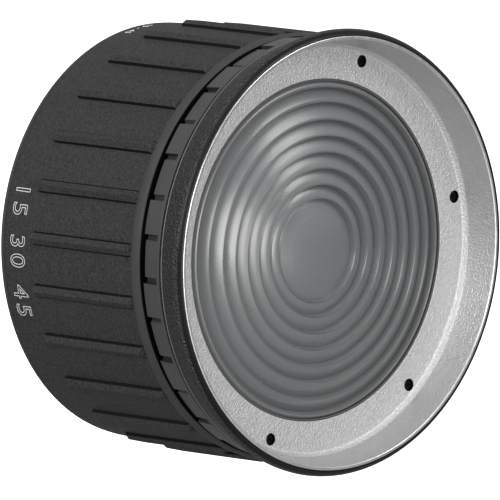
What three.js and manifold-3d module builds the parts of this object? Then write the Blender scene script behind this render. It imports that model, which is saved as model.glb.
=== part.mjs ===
// Focusing Fresnel spotlight attachment for a bayonet-mount studio light.
//
// The optical axis is the Y axis and the front looks towards -Y, with +Z up. The origin is the
// centre of the rear bayonet flange's seating face. A "station" is a distance in millimetres
// forward of that face, so the point at station s on the axis is (0, -s, 0). Angles about the
// axis are in degrees, from straight up (+Z) towards +X.
//
// Turning the rubber-covered focus ring turns a cam ring with three helical slots. Three rollers
// on the lens carriage pass through straight slots in the fixed guide barrel into the helical
// slots, so the carriage and its condenser lens slide along the axis.

import * as THREE from 'three';
import { mergeVertices } from 'three/addons/utils/BufferGeometryUtils.js';
import Module from 'manifold-3d';

const wasm = await Module();
wasm.setup();

// ---------------------------------------------------------------- driving dimensions (mm, degrees)

const GAP = 0.3; // clearance between pieces that rest on each other
const FACETS = 36; // sides of a turned ring
const PIN_FACETS = 8; // sides of a screw or screw hole
const BUSH_FACETS = 12; // sides of a roller, a slot's round end or a screw's sunk pocket
const SLOT_STEPS = 10; // straight lengths in a helical slot
const ARC_STEPS = 6; // straight lengths in a bayonet lug's arc
const OVERSHOOT = 1; // how far a cutter runs past the faces that it cuts

const FOCUS_TURN = 100; // turn of the focus ring from one end stop to the other
const CARRIAGE_TRAVEL = 60; // travel of the lens carriage over that turn

// Bayonet ring: a collar with three lugs, put into the mounting plate from behind until its
// flange is flush with the plate, and held by a locking ring threaded on its front end.
const BAYONET = {
  boreRadius: 46,
  radius: 49,
  length: 12,
  flangeRadius: 53,
  flangeThickness: 1.2,
  lockThickness: 1.2,
  lugRadius: 57,
  lugThickness: 3.2,
  lugSpan: 42,
  lugCount: 3,
  notchWidth: 5,
};

// Mounting plate, screwed to the rear cover.
const FLANGE = {
  radius: 72,
  thickness: 4.5,
  screwCircle: 62,
  screwCount: 4,
};

// Rear cover: an end plate, a cone and an inner ledge that the guide barrel is screwed to.
const COVER = {
  boreRadius: 52,
  plateRear: 4.8,
  plateFront: 8.8,
  plateRadius: 75.3,
  coneRearRadius: 76.5,
  coneRear: 6,
  rimRadius: 98,
  rimRear: 23.5,
  rimFront: 25.2,
  innerConeRadius: 74.5,
  ledgeOuterRadius: 85.2,
  ledgeRadius: 78,
  ledgeRear: 17.5,
  ledgeFront: 21.2,
  spigotRadius: 91.4,
  screwCircle: 84,
  screwCount: 4,
  pocketRadius: 3.8,
};

// Fixed guide barrel between the rear cover and the front collar.
const BARREL = {
  radius: 91,
  wall: 3,
  rear: 21.5,
  rearFlange: 4,
  rearFlangeRadius: 78,
  front: 129.5,
  frontFlange: 4,
  frontFlangeRadius: 81.5,
};

// Glide rings, cam ring and focus ring, which turn on the guide barrel.
const GLIDE = {
  innerRadius: 91.5,
  outerRadius: 97.8,
  thickness: 1.4,
  rear: 25.5,
  front: 127.3,
};
const CAM = {
  innerRadius: 91.6,
  outerRadius: 95.0,
  rear: 27.4,
  front: 125.4,
  screwStation: 118,
  screwCount: 3,
};
const RING = {
  rear: 25.7,
  front: 127.1,
  rearRadius: 102.5,
  rearLip: 2.2,
  boreRadius: 95.5,
  recessRadius: 98.3,
  recessDepth: 1.6,
  seatRadius: 101,
  shoulder: 121.4,
  shoulderRadius: 105,
  chamferFront: 126.2,
  chamferRadius: 104.3,
  rearChamfer: 0.6,
  frontChamfer: 0.7,
};

// Rubber sleeve on the focus ring: [station, radius] of its skin, and its raised grip ribs.
const SLEEVE = {
  innerRadius: 101.4,
  outline: [
    [28.2, 102.6],
    [38, 103.1],
    [58, 103.3],
    [121.1, 103.4],
  ],
  ribCount: 25,
  ribWidth: 5.75,
  ribRear: 49.7,
  ribFront: 119.5,
  ribRamp: 2.5,
  ribRearRadius: 104.7,
  ribFrontRadius: 105,
  ribRoot: 102.2,
};

// Lens carriage, with its condenser lens, cushion and threaded retaining ring.
const CARRIAGE = {
  radius: 87.5,
  wall: 3.5,
  rear: 36,
  length: 22,
  webThickness: 3.5,
  webRadius: 66,
  cellRadius: 74,
  cellBore: 70.4,
  cellFront: 52,
};
const CONDENSER = {
  radius: 70,
  rear: 41.9,
  edge: 5,
  sag: 17,
};
const CUSHION = { radius: 68.3, thickness: 1.8 };
const RETAINER = { innerRadius: 66.8, outerRadius: 70.1, rear: 48.9, thickness: 2.6 };

// Follower screws and rollers that tie the carriage to the cam slots.
const FOLLOWER = {
  count: 3,
  firstAngle: 60,
  station: 47,
  rollerRadius: 4,
  rollerBore: 2.1,
  rollerInner: 88.1,
  rollerOuter: 94.9,
  pocketRadius: 3.4,
  pocketFloor: 92.4,
  slotClearance: 0.4,
};

// Front collar: the castellated ring that carries the lens, the bezel and the dish.
const COLLAR = {
  boreRadius: 81.5,
  neckRear: 127.6,
  neckBore: 91.3,
  neckRadius: 99,
  ledgeRear: 129.8,
  ledgeFront: 133.2,
  lensBore: 86.5,
  dishSeat: 138.2,
  dishSeatRadius: 102.9,
  spigotSeat: 140.7,
  spigotSeatRadius: 104.9,
  front: 142,
  baseRear: 130.2,
  baseRearRadius: 103.8,
  recessFront: 139.7,
  recessFrontRadius: 104.6,
  bandRearRadius: 105.4,
  bandFrontRadius: 105.6,
  blockRear: 129.7,
  blockRearRadius: 104.6,
  blockCount: 16,
  blockSpan: 9.2,
  blockRamp: 1,
  blockAngle: -9.3,
  screwCircle: 84.6,
  screwCount: 3,
};

// Front bezel: a textured band, a groove, and a round nose at the widest point.
const BEZEL = {
  spigotRear: 141,
  spigotInner: 103,
  spigotOuter: 104.6,
  bandRear: 143.3,
  bandRearRadius: 106.1,
  bandFront: 152.9,
  bandFrontRadius: 107.5,
  grooveFront: 154.5,
  grooveRadius: 106.4,
  noseRearRadius: 109.5,
  noseStation: 156.1,
  noseRadius: 4.8,
  noseCentreRadius: 105.2,
  noseEnd: 70,
  lipRear: 158,
  lipRearInner: 106.1,
  lipInner: 107.1,
};

// Reflector dish: a flat floor with six screw holes, a cone wall and a rolled lip.
const DISH = {
  boreRadius: 84.2,
  floorRear: 138.5,
  floorFront: 142.5,
  foldInner: 100.4,
  foldStation: 144.3,
  foldOuter: 102.65,
  wallInner: 101.7,
  wallOuter: 102.6,
  lipRear: 158.6,
  lipRearRadius: 105.8,
  lipFront: 160.5,
  lipInner: 104.9,
  lipOuter: 106.8,
  lipRound: 0.4,
  screwCircle: 95.7,
  screwCount: 6,
  screwFirstAngle: 18.8,
  holeRadius: 3.1,
  holeFloor: 139.7,
};

// Front lens, with [station, radius] of each stepped ring's crest, and its seal.
const LENS = {
  rear: 133.5,
  flangeRadius: 86.1,
  flangeFront: 137,
  bodyRadius: 83,
  domeFront: 143.4,
  domeEdge: 140.8,
  crests: [
    [143.9, 25.4],
    [145, 32.4],
    [145.7, 40.4],
    [146.1, 48.4],
    [146.2, 56.4],
    [145.7, 64.4],
    [144.8, 72.9],
    [143.6, 80.2],
  ],
  crestDrop: 3.9,
  riserWidth: 0.8,
  rimFront: 141.2,
};
const GASKET = {
  neckInner: 83.3,
  neckOuter: 83.9,
  footOuter: 86.3,
  rear: 137.3,
  footFront: 138.2,
  front: 142.7,
};

// ------------------------------------------------------------------------------------- materials

function finish(color, roughness, metalness) {
  return new THREE.MeshStandardMaterial({ color, roughness, metalness });
}

const blackPaint = finish(0x1d1d1f, 0.55, 0.3);
const bezelPaint = finish(0x2c2c2e, 0.7, 0.2);
const greyAnodise = finish(0x4d4d51, 0.5, 0.5);
const blackAnodise = finish(0x222326, 0.45, 0.6);
const castAluminium = finish(0xb4b5b7, 0.4, 0.85);
const silverPaint = finish(0xb9babb, 0.42, 0.7);
const gripRubber = finish(0x38383a, 0.85, 0);
const sealRubber = finish(0x161616, 0.8, 0);
const nylon = finish(0xe6e3da, 0.6, 0);
const blackSteel = finish(0x151515, 0.4, 0.7);
const zincSteel = finish(0xa9abad, 0.35, 0.9);
const glass = new THREE.MeshStandardMaterial({
  color: 0xdfe6e8,
  roughness: 0.08,
  metalness: 0,
  transparent: true,
  opacity: 0.45,
});

// ----------------------------------------------------------------------------- solids and helpers

const radians = THREE.MathUtils.degToRad;

/** A closed geometry as a solid, with shared corners merged and empty triangles dropped. */
function solid(geometry) {
  const bare = geometry.clone();
  bare.deleteAttribute('normal');
  bare.deleteAttribute('uv');
  const merged = mergeVertices(bare, 1e-4);
  const index = merged.index.array;
  const corners = [];
  for (let i = 0; i < index.length; i += 3) {
    const [a, b, c] = [index[i], index[i + 1], index[i + 2]];
    if (a !== b && b !== c && c !== a) corners.push(a, b, c);
  }
  return new wasm.Manifold(new wasm.Mesh({
    numProp: 3,
    vertProperties: new Float32Array(merged.attributes.position.array),
    triVerts: new Uint32Array(corners),
  }));
}

/** A solid of revolution about the optical axis, from [station, radius] points. */
function turned(outline, facets = FACETS) {
  const points = outline.map(([station, radius]) => new THREE.Vector2(radius, -station));
  if (THREE.ShapeUtils.area(points) < 0) points.reverse();
  const startsOnAxis = points[0].x === 0 && points.at(-1).x === 0;
  if (!startsOnAxis) points.push(points[0].clone());
  return solid(new THREE.LatheGeometry(points, facets));
}

/** A plain ring of rectangular section. */
function ring(innerRadius, outerRadius, rear, front) {
  return turned([[rear, innerRadius], [rear, outerRadius], [front, outerRadius], [front, innerRadius]]);
}

/** A prism along the optical axis whose outline is [angle, radius] points, between two stations. */
function axialPrism(outline, rear, front) {
  const points = outline.map(([angle, radius]) => new THREE.Vector2(
    radius * Math.sin(radians(angle)),
    -radius * Math.cos(radians(angle)),
  ));
  const settings = { depth: front - rear, bevelEnabled: false };
  const geometry = new THREE.ExtrudeGeometry(new THREE.Shape(points), settings);
  geometry.rotateX(-Math.PI / 2);
  geometry.translate(0, -front, 0);
  return solid(geometry);
}

/** An arc of [angle, radius] points at one radius. */
function arc(fromAngle, toAngle, radius) {
  const stepAngle = (toAngle - fromAngle) / ARC_STEPS;
  return Array.from({ length: ARC_STEPS + 1 }, (_, i) => [fromAngle + stepAngle * i, radius]);
}

/** A flat bar on the axis's top side, from [station, radius] points, with its width across it. */
function axialBar(outline, width) {
  const points = outline.map(([station, radius]) => new THREE.Vector2(-radius, -station));
  const settings = { depth: width, bevelEnabled: false };
  const geometry = new THREE.ExtrudeGeometry(new THREE.Shape(points), settings);
  geometry.translate(0, 0, -width / 2);
  geometry.rotateY(Math.PI / 2);
  return geometry;
}

/** A cylinder along the optical axis, off to one side of it. */
function axialHole(radius, circle, angle, rear, front, facets = PIN_FACETS) {
  const geometry = new THREE.CylinderGeometry(radius, radius, front - rear, facets);
  geometry.translate(0, -(rear + front) / 2, circle);
  geometry.rotateY(radians(angle));
  return solid(geometry);
}

/** A cylinder that points away from the optical axis at one station. */
function radialHole(radius, station, angle, inner, outer, facets = PIN_FACETS) {
  const geometry = new THREE.CylinderGeometry(radius, radius, outer - inner, facets);
  geometry.rotateX(Math.PI / 2);
  geometry.translate(0, -station, (inner + outer) / 2);
  geometry.rotateY(radians(angle));
  return solid(geometry);
}

/** Cuts a list of tools from a body. */
function cut(body, tools) {
  return tools.reduce((rest, tool) => rest.subtract(tool), body);
}

/** Evenly spaced angles about the axis. */
function around(count, first = 0) {
  return Array.from({ length: count }, (_, i) => first + (360 * i) / count);
}

/** A round-ended slot through a ring wall that advances from one station to another as it turns. */
function wallSlot(angle, turn, rear, front, width, inner, outer) {
  const steps = turn === 0 ? 1 : SLOT_STEPS;
  const middle = (inner + outer) / 2;
  const arcLength = middle * radians(turn);
  const travel = front - rear;
  const length = Math.hypot(arcLength, travel);
  const geometry = new THREE.BoxGeometry(width, 1, outer - inner, 1, steps, 1);
  const position = geometry.attributes.position;
  for (let i = 0; i < position.count; i += 1) {
    const along = 0.5 - position.getY(i);
    const across = position.getX(i);
    const radius = middle + position.getZ(i);
    const sweep = radians(angle) + (along * arcLength + (across * travel) / length) / middle;
    const station = rear + along * travel - (across * arcLength) / length;
    position.setXYZ(i, radius * Math.sin(sweep), -station, radius * Math.cos(sweep));
  }
  return solid(geometry)
    .add(radialHole(width / 2, rear, angle, inner, outer, BUSH_FACETS))
    .add(radialHole(width / 2, front, angle + turn, inner, outer, BUSH_FACETS));
}

/** A screw along Y: its head above y = 0, its shank below, and a hexagon socket in its head. */
function screw({ headRadius, headHeight, shankRadius, length, socket }) {
  const body = turned([
    [-headHeight, 0],
    [-headHeight, headRadius],
    [0, headRadius],
    [0, shankRadius],
    [length, shankRadius],
    [length, 0],
  ], PIN_FACETS);
  const hexagon = new THREE.CylinderGeometry(socket, socket, headHeight, 6);
  hexagon.translate(0, headHeight, 0);
  return body.subtract(solid(hexagon));
}

/** Adds a solid to a group as a named mesh. */
function addPart(group, name, body, material) {
  const { vertProperties, triVerts } = body.getMesh();
  const geometry = new THREE.BufferGeometry();
  geometry.setAttribute('position', new THREE.BufferAttribute(new Float32Array(vertProperties), 3));
  geometry.setIndex(new THREE.BufferAttribute(new Uint32Array(triVerts), 1));
  geometry.computeVertexNormals();
  const mesh = new THREE.Mesh(geometry, material);
  mesh.name = name;
  group.add(mesh);
  return mesh;
}

/** The point at a station, radius and angle. */
function pointAt(station, radius, angle) {
  const turn = radians(angle);
  return new THREE.Vector3(radius * Math.sin(turn), -station, radius * Math.cos(turn));
}

/** Adds a circle of screws put in along the axis from behind, or from the front. */
function addAxialScrews(group, name, { angles, circle, seat, sizes, fromFront = false }, material) {
  const body = screw(sizes);
  angles.forEach((angle, i) => {
    const mesh = addPart(group, `${name}_${i + 1}`, body, material);
    mesh.position.copy(pointAt(seat, circle, angle));
    mesh.rotation.x = fromFront ? Math.PI : 0;
  });
}

/** Adds copies of a body that points along +Y, turned to point away from the axis. */
function addRadialParts(group, name, { angles, station, radius, body }, material) {
  angles.forEach((angle, i) => {
    const mesh = addPart(group, `${name}_${i + 1}`, body, material);
    mesh.rotation.set(Math.PI / 2, radians(angle), 0, 'YXZ');
    mesh.position.copy(pointAt(station, radius, angle));
  });
}

// ------------------------------------------------------------------------------- fixed rear parts

const coverAngles = around(COVER.screwCount, 45);
const flangeAngles = around(FLANGE.screwCount, 0);
const flangeScrew = { headRadius: 3, headHeight: 2.2, shankRadius: 1.5, length: 6, socket: 1.3 };
const coverScrew = { headRadius: 3, headHeight: 2.6, shankRadius: 1.5, length: 6.5, socket: 1.3 };
const flangeScrewSeat = FLANGE.thickness / 2;
const screwHoleRadius = 1.8;

function bayonetRing() {
  const body = turned([
    [-BAYONET.length, BAYONET.boreRadius],
    [-BAYONET.length, BAYONET.radius],
    [0, BAYONET.radius],
    [0, BAYONET.flangeRadius],
    [BAYONET.flangeThickness, BAYONET.flangeRadius],
    [BAYONET.flangeThickness, BAYONET.radius],
    [FLANGE.thickness, BAYONET.radius],
    [FLANGE.thickness, BAYONET.boreRadius],
  ]);
  const halfSpan = BAYONET.lugSpan / 2;
  const lugRear = -BAYONET.length;
  const lugFront = lugRear + BAYONET.lugThickness;
  const lugRoot = (BAYONET.boreRadius + BAYONET.radius) / 2;
  const lugs = around(BAYONET.lugCount).map((angle) => axialPrism([
    ...arc(angle - halfSpan, angle + halfSpan, BAYONET.lugRadius),
    ...arc(angle + halfSpan, angle - halfSpan, lugRoot),
  ], lugRear, lugFront));
  const notchRadius = BAYONET.notchWidth / 2;
  const notch = axialHole(notchRadius, BAYONET.lugRadius, 0, lugRear - OVERSHOOT, lugFront + OVERSHOOT);
  return lugs.reduce((sum, lug) => sum.add(lug), body).subtract(notch);
}

/** The thin ring that locks the bayonet ring to the plate, flush with the plate's front. */
function bayonetLockRing() {
  const rear = FLANGE.thickness - BAYONET.lockThickness;
  return ring(BAYONET.radius + GAP, BAYONET.flangeRadius, rear, FLANGE.thickness);
}

function mountFlange() {
  const rearPocket = BAYONET.flangeThickness + GAP;
  const frontPocket = FLANGE.thickness - BAYONET.lockThickness - GAP;
  const pocketRadius = BAYONET.flangeRadius + GAP;
  const body = turned([
    [0, pocketRadius],
    [0, FLANGE.radius],
    [FLANGE.thickness, FLANGE.radius],
    [FLANGE.thickness, pocketRadius],
    [frontPocket, pocketRadius],
    [frontPocket, BAYONET.radius + GAP],
    [rearPocket, BAYONET.radius + GAP],
    [rearPocket, pocketRadius],
  ]);
  const { headRadius } = flangeScrew;
  const front = FLANGE.thickness + OVERSHOOT;
  const holes = flangeAngles.flatMap((angle) => [
    axialHole(headRadius + GAP, FLANGE.screwCircle, angle, -OVERSHOOT, flangeScrewSeat + GAP),
    axialHole(screwHoleRadius, FLANGE.screwCircle, angle, -OVERSHOOT, front),
  ]);
  return cut(body, holes);
}

function rearCover() {
  const body = turned([
    [COVER.plateRear, COVER.boreRadius],
    [COVER.plateRear, COVER.plateRadius],
    [COVER.coneRear, COVER.coneRearRadius],
    [COVER.rimRear, COVER.rimRadius],
    [COVER.rimFront, COVER.rimRadius],
    [COVER.rimFront, COVER.spigotRadius],
    [COVER.ledgeFront, COVER.spigotRadius],
    [COVER.ledgeFront, COVER.ledgeRadius],
    [COVER.ledgeRear, COVER.ledgeRadius],
    [COVER.ledgeRear, COVER.ledgeOuterRadius],
    [COVER.plateFront, COVER.innerConeRadius],
    [COVER.plateFront, COVER.boreRadius],
  ]);
  const holes = coverAngles.flatMap((angle) => [
    axialHole(COVER.pocketRadius, COVER.screwCircle, angle, 0, COVER.ledgeRear),
    axialHole(screwHoleRadius, COVER.screwCircle, angle, 0, COVER.rimFront),
  ]);
  const flangeHoles = flangeAngles.map((angle) => (
    axialHole(screwHoleRadius, FLANGE.screwCircle, angle, 0, COVER.plateFront + OVERSHOOT)
  ));
  return cut(body, [...holes, ...flangeHoles]);
}

function guideBarrel() {
  const boreRadius = BARREL.radius - BARREL.wall;
  const body = turned([
    [BARREL.rear, BARREL.rearFlangeRadius],
    [BARREL.rear, BARREL.radius],
    [BARREL.front, BARREL.radius],
    [BARREL.front, BARREL.frontFlangeRadius],
    [BARREL.front - BARREL.frontFlange, BARREL.frontFlangeRadius],
    [BARREL.front - BARREL.frontFlange, boreRadius],
    [BARREL.rear + BARREL.rearFlange, boreRadius],
    [BARREL.rear + BARREL.rearFlange, BARREL.rearFlangeRadius],
  ]);
  const slotEnd = FOLLOWER.station + CARRIAGE_TRAVEL;
  const [slotInner, slotOuter] = [boreRadius - OVERSHOOT, BARREL.radius + OVERSHOOT];
  const slots = followerAngles.map((angle) => (
    wallSlot(angle, 0, FOLLOWER.station, slotEnd, slotWidth, slotInner, slotOuter)
  ));
  const rearWeb = [BARREL.rear - OVERSHOOT, BARREL.rear + BARREL.rearFlange + OVERSHOOT];
  const rearHoles = coverAngles.map((angle) => (
    axialHole(screwHoleRadius, COVER.screwCircle, angle, ...rearWeb)
  ));
  const frontWeb = [BARREL.front - BARREL.frontFlange - OVERSHOOT, BARREL.front + OVERSHOOT];
  const frontHoles = collarAngles.map((angle) => (
    axialHole(collarHoleRadius, COLLAR.screwCircle, angle, ...frontWeb)
  ));
  return cut(body, [...slots, ...rearHoles, ...frontHoles]);
}

// ------------------------------------------------------------------------------ fixed front parts

const collarAngles = around(COLLAR.screwCount, 30);
const dishAngles = around(DISH.screwCount, DISH.screwFirstAngle);
const collarScrew = { headRadius: 2.2, headHeight: 1.6, shankRadius: 1.2, length: 5, socket: 0.9 };
const dishScrew = { headRadius: 2.75, headHeight: 1.3, shankRadius: 1.4, length: 8, socket: 1.2 };
const collarHoleRadius = 1.5;
const collarScrewSeat = 131.3;
const collarPocketRadius = 2.6;

function frontCollar() {
  const base = turned([
    [COLLAR.ledgeRear, COLLAR.boreRadius],
    [COLLAR.ledgeRear, COLLAR.neckBore],
    [COLLAR.neckRear, COLLAR.neckBore],
    [COLLAR.neckRear, COLLAR.neckRadius],
    [COLLAR.baseRear, COLLAR.neckRadius],
    [COLLAR.baseRear, COLLAR.baseRearRadius],
    [COLLAR.recessFront, COLLAR.recessFrontRadius],
    [COLLAR.recessFront, COLLAR.bandRearRadius],
    [COLLAR.front, COLLAR.bandFrontRadius],
    [COLLAR.front, COLLAR.spigotSeatRadius],
    [COLLAR.spigotSeat, COLLAR.spigotSeatRadius],
    [COLLAR.spigotSeat, COLLAR.dishSeatRadius],
    [COLLAR.dishSeat, COLLAR.dishSeatRadius],
    [COLLAR.dishSeat, COLLAR.lensBore],
    [COLLAR.ledgeFront, COLLAR.lensBore],
    [COLLAR.ledgeFront, COLLAR.boreRadius],
  ]);
  const rim = turned([
    [COLLAR.blockRear, COLLAR.dishSeatRadius],
    [COLLAR.blockRear, COLLAR.blockRearRadius],
    [COLLAR.recessFront, COLLAR.bandRearRadius],
    [COLLAR.recessFront, COLLAR.dishSeatRadius],
  ]);
  const halfSpan = COLLAR.blockSpan / 2;
  const foot = halfSpan + COLLAR.blockRamp;
  const reach = COLLAR.bandFrontRadius + OVERSHOOT;
  const blockShapes = around(COLLAR.blockCount, COLLAR.blockAngle).map((angle) => axialPrism([
    [angle - foot, COLLAR.neckRadius],
    [angle - foot, COLLAR.baseRearRadius],
    [angle - halfSpan, reach],
    [angle + halfSpan, reach],
    [angle + foot, COLLAR.baseRearRadius],
    [angle + foot, COLLAR.neckRadius],
  ], COLLAR.blockRear - OVERSHOOT, COLLAR.front));
  const blocks = blockShapes.map((shape) => shape.intersect(rim));
  const dishHoleRear = COLLAR.dishSeat - dishScrew.length;
  const dishHoles = dishAngles.map((angle) => (
    axialHole(dishScrew.shankRadius + GAP, DISH.screwCircle, angle, dishHoleRear, COLLAR.front)
  ));
  const [rear, front] = [COLLAR.ledgeRear - OVERSHOOT, COLLAR.ledgeFront + OVERSHOOT];
  const barrelHoles = collarAngles.flatMap((angle) => [
    axialHole(collarHoleRadius, COLLAR.screwCircle, angle, rear, front),
    axialHole(collarPocketRadius, COLLAR.screwCircle, angle, collarScrewSeat - GAP, front),
  ]);
  return cut(blocks.reduce((sum, block) => sum.add(block), base), [...dishHoles, ...barrelHoles]);
}

function frontBezel() {
  const nose = [0, 1, 2, 3].map((step) => {
    const angle = radians((BEZEL.noseEnd * step) / 3);
    return [
      BEZEL.noseStation + BEZEL.noseRadius * Math.sin(angle),
      BEZEL.noseCentreRadius + BEZEL.noseRadius * Math.cos(angle),
    ];
  });
  const frontHeight = BEZEL.lipInner - BEZEL.noseCentreRadius;
  return turned([
    [BEZEL.spigotRear, BEZEL.spigotInner],
    [BEZEL.spigotRear, BEZEL.spigotOuter],
    [BEZEL.bandRear, BEZEL.spigotOuter],
    [BEZEL.bandRear, BEZEL.bandRearRadius],
    [BEZEL.bandFront, BEZEL.bandFrontRadius],
    [BEZEL.bandFront, BEZEL.grooveRadius],
    [BEZEL.grooveFront, BEZEL.grooveRadius],
    [BEZEL.grooveFront, BEZEL.noseRearRadius],
    ...nose,
    [BEZEL.noseStation + Math.sqrt(BEZEL.noseRadius ** 2 - frontHeight ** 2), BEZEL.lipInner],
    [BEZEL.lipRear, BEZEL.lipInner],
    [BEZEL.lipRear, BEZEL.lipRearInner],
    [DISH.foldStation, BEZEL.spigotInner],
  ]);
}

function reflectorDish() {
  const body = turned([
    [DISH.floorRear, DISH.boreRadius],
    [DISH.floorRear, DISH.wallOuter],
    [DISH.foldStation, DISH.foldOuter],
    [DISH.lipRear, DISH.lipRearRadius],
    [DISH.lipRear, DISH.lipOuter],
    [DISH.lipFront - DISH.lipRound, DISH.lipOuter],
    [DISH.lipFront, DISH.lipOuter - DISH.lipRound],
    [DISH.lipFront, DISH.lipInner + DISH.lipRound],
    [DISH.lipFront - DISH.lipRound, DISH.lipInner],
    [DISH.foldStation, DISH.wallInner],
    [DISH.floorFront, DISH.foldInner],
    [DISH.floorFront, DISH.boreRadius],
  ]);
  const front = DISH.floorFront + OVERSHOOT;
  const holes = dishAngles.flatMap((angle) => [
    axialHole(DISH.holeRadius, DISH.screwCircle, angle, DISH.holeFloor, front, BUSH_FACETS),
    axialHole(screwHoleRadius, DISH.screwCircle, angle, DISH.floorRear - OVERSHOOT, front),
  ]);
  return cut(body, holes);
}

function lensGasket() {
  return turned([
    [GASKET.rear, GASKET.neckInner],
    [GASKET.rear, GASKET.footOuter],
    [GASKET.footFront, GASKET.footOuter],
    [GASKET.footFront, GASKET.neckOuter],
    [GASKET.front, GASKET.neckOuter],
    [GASKET.front, GASKET.neckInner],
  ]);
}

/** Front of the lens: a low dome, then rings that rise steeply and fall away outwards. */
function lensFront() {
  const [, firstCrest] = LENS.crests[0];
  const domeRadius = firstCrest - LENS.riserWidth;
  const points = [0, 0.5, 1].map((part) => [
    LENS.domeFront - (LENS.domeFront - LENS.domeEdge) * part * part,
    domeRadius * part,
  ]);
  LENS.crests.forEach(([station, radius], i) => {
    points.push([station, radius]);
    const next = LENS.crests[i + 1];
    if (next) points.push([next[0] - LENS.crestDrop, next[1] - LENS.riserWidth]);
  });
  points.push([LENS.rimFront, LENS.bodyRadius]);
  return points;
}

function frontLens() {
  return turned([
    [LENS.rear, 0],
    [LENS.rear, LENS.flangeRadius],
    [LENS.flangeFront, LENS.flangeRadius],
    [LENS.flangeFront, LENS.bodyRadius],
    ...lensFront().reverse(),
  ]);
}

// ----------------------------------------------------------------------------------- focus ring

const followerAngles = around(FOLLOWER.count, FOLLOWER.firstAngle);
const slotWidth = 2 * (FOLLOWER.rollerRadius + FOLLOWER.slotClearance);
const camScrewAngles = around(CAM.screwCount, 0);
const camScrew = { headRadius: 2.6, headHeight: 2, shankRadius: 1.4, length: 6, socket: 1.1 };
const camScrewSeat = 98.4;

function camRing() {
  const body = ring(CAM.innerRadius, CAM.outerRadius, CAM.rear, CAM.front);
  const slotEnd = FOLLOWER.station + CARRIAGE_TRAVEL;
  const [inner, outer] = [CAM.innerRadius - OVERSHOOT, CAM.outerRadius + OVERSHOOT];
  const slots = followerAngles.map((angle) => (
    wallSlot(angle, FOCUS_TURN, FOLLOWER.station, slotEnd, slotWidth, inner, outer)
  ));
  const holes = camScrewAngles.map((angle) => (
    radialHole(camScrew.shankRadius + GAP, CAM.screwStation, angle, inner, outer)
  ));
  return cut(body, [...slots, ...holes]);
}

function focusRing() {
  const body = turned([
    [RING.rear, RING.recessRadius],
    [RING.rear, RING.rearRadius - RING.rearChamfer],
    [RING.rear + RING.rearChamfer, RING.rearRadius],
    [RING.rear + RING.rearLip, RING.rearRadius],
    [RING.rear + RING.rearLip, RING.seatRadius],
    [RING.shoulder, RING.seatRadius],
    [RING.shoulder, RING.shoulderRadius],
    [RING.chamferFront, RING.chamferRadius],
    [RING.front, RING.chamferRadius - RING.frontChamfer],
    [RING.front, RING.recessRadius],
    [RING.front - RING.recessDepth, RING.recessRadius],
    [RING.front - RING.recessDepth, RING.boreRadius],
    [RING.rear + RING.recessDepth, RING.boreRadius],
    [RING.rear + RING.recessDepth, RING.recessRadius],
  ]);
  const { headRadius, shankRadius } = camScrew;
  const outer = RING.shoulderRadius;
  const holes = camScrewAngles.flatMap((angle) => [
    radialHole(headRadius + GAP, CAM.screwStation, angle, camScrewSeat - GAP, outer),
    radialHole(shankRadius + GAP, CAM.screwStation, angle, CAM.outerRadius, outer),
  ]);
  return cut(body, holes);
}

function gripSleeve() {
  const [rear] = SLEEVE.outline[0];
  const [front, frontRadius] = SLEEVE.outline.at(-1);
  const body = turned([[rear, SLEEVE.innerRadius], ...SLEEVE.outline, [front, SLEEVE.innerRadius]]);
  const rib = axialBar([
    [SLEEVE.ribRear, SLEEVE.ribRoot],
    [SLEEVE.ribRear, SLEEVE.ribRearRadius],
    [SLEEVE.ribFront - SLEEVE.ribRamp, SLEEVE.ribFrontRadius],
    [SLEEVE.ribFront, frontRadius],
    [SLEEVE.ribFront, SLEEVE.ribRoot],
  ], SLEEVE.ribWidth);
  const ribs = around(SLEEVE.ribCount).map((angle) => solid(rib.clone().rotateY(radians(angle))));
  return ribs.reduce((sum, one) => sum.add(one), body);
}

// --------------------------------------------------------------------------------- lens carriage

const followerScrew = { headRadius: 3, headHeight: 1.8, shankRadius: 1.8, length: 8.5, socket: 1.2 };
const followerScrewSeat = 92.8;

function lensCarriage() {
  const front = CARRIAGE.rear + CARRIAGE.length;
  const web = CARRIAGE.rear + CARRIAGE.webThickness;
  const tubeBore = CARRIAGE.radius - CARRIAGE.wall;
  const body = turned([
    [CARRIAGE.rear, CARRIAGE.webRadius],
    [CARRIAGE.rear, CARRIAGE.radius],
    [front, CARRIAGE.radius],
    [front, tubeBore],
    [web, tubeBore],
    [web, CARRIAGE.cellRadius],
    [CARRIAGE.cellFront, CARRIAGE.cellRadius],
    [CARRIAGE.cellFront, CARRIAGE.cellBore],
    [web, CARRIAGE.cellBore],
    [web, CARRIAGE.webRadius],
  ]);
  const [inner, outer] = [tubeBore - OVERSHOOT, CARRIAGE.radius + OVERSHOOT];
  const holes = followerAngles.map((angle) => (
    radialHole(FOLLOWER.rollerBore, FOLLOWER.station, angle, inner, outer)
  ));
  return cut(body, holes);
}

function condenserLens() {
  const edgeFront = CONDENSER.rear + CONDENSER.edge;
  const curvature = (CONDENSER.radius ** 2 + CONDENSER.sag ** 2) / (2 * CONDENSER.sag);
  const edgeHeight = curvature - CONDENSER.sag;
  const dome = [0, 0.25, 0.5, 0.75, 1].map((part) => {
    const radius = CONDENSER.radius * part;
    return [edgeFront + Math.sqrt(curvature ** 2 - radius ** 2) - edgeHeight, radius];
  });
  return turned([...dome, [CONDENSER.rear, CONDENSER.radius], [CONDENSER.rear, 0]]);
}

function lensCushion() {
  const half = CUSHION.thickness / 2;
  const centre = CARRIAGE.rear + CARRIAGE.webThickness + GAP + half;
  return turned(around(4).map((angle) => [
    centre + half * Math.cos(radians(angle)),
    CUSHION.radius + half * Math.sin(radians(angle)),
  ]));
}

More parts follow.
